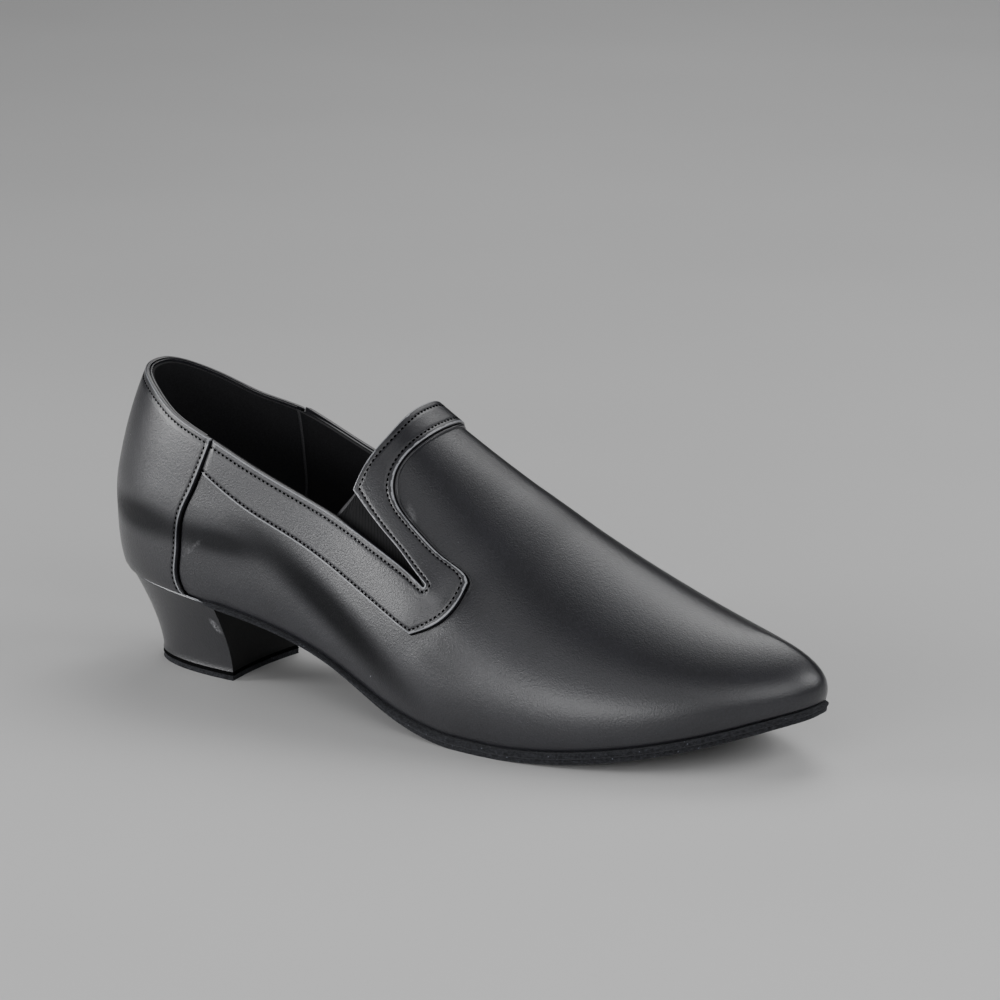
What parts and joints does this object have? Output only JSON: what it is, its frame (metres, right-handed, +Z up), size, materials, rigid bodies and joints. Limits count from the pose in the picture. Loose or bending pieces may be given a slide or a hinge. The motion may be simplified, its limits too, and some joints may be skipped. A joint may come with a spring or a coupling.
{
  "type": "ballroom dance shoe",
  "caption": "Right slip-on ballroom dance shoe in black leather, with elastic notches at the collar, a suede sole and a Cuban heel.",
  "frame": {"origin": "centre of the heel's ground face", "axes": "+X from the heel to the toe, -Y to the shoe's lateral side, +Z up from the floor"},
  "size_m": [0.2858, 0.0942, 0.1088],
  "materials": {
    "black_leather": "fine grain, soft satin",
    "black_suede": "matte nap",
    "black_elastic": "fine matte ribs",
    "black_lining": "matte"
  },
  "bodies": {
    "root": {"upper": "black_leather", "heel_counter": "black_leather", "topline_band": "black_leather", "gore_lateral": "black_elastic", "gore_medial": "black_elastic", "insole": "black_lining", "outsole": "black_suede", "heel": "black_leather", "heel_lift": "black_suede"}
  },
  "joints": []
}
